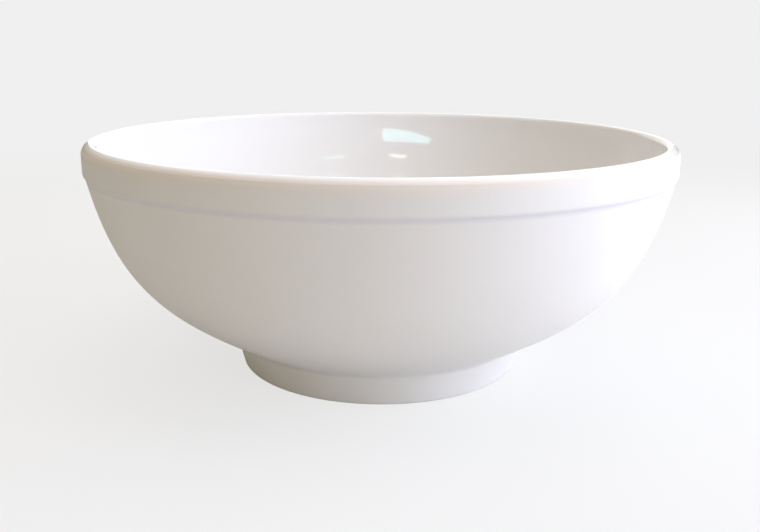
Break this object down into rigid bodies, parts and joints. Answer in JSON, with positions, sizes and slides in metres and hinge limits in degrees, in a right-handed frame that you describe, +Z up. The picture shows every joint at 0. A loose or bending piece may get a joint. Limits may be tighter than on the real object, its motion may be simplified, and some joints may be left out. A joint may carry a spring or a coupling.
{
  "type": "evaporating dish",
  "caption": "Footed porcelain evaporating dish: a wide, deep bowl with a collar under its thick rim, matt outside and glazed inside, standing on a turned foot ring.",
  "frame": {"origin": "centre of the foot ring's flat land, on the surface that the dish stands on", "axes": "+Z up along the axis that the dish is turned round; X and Y are level and any pair will do, because the dish is round"},
  "size_m": [0.2, 0.2, 0.0803],
  "materials": {
    "biscuit_porcelain": "unglazed biscuit porcelain, matt, fine and smooth",
    "clear_glaze": "clear gloss glaze over white clay"
  },
  "bodies": {
    "root": {"porcelain_body": "biscuit_porcelain", "inner_glaze": "clear_glaze"}
  },
  "joints": []
}
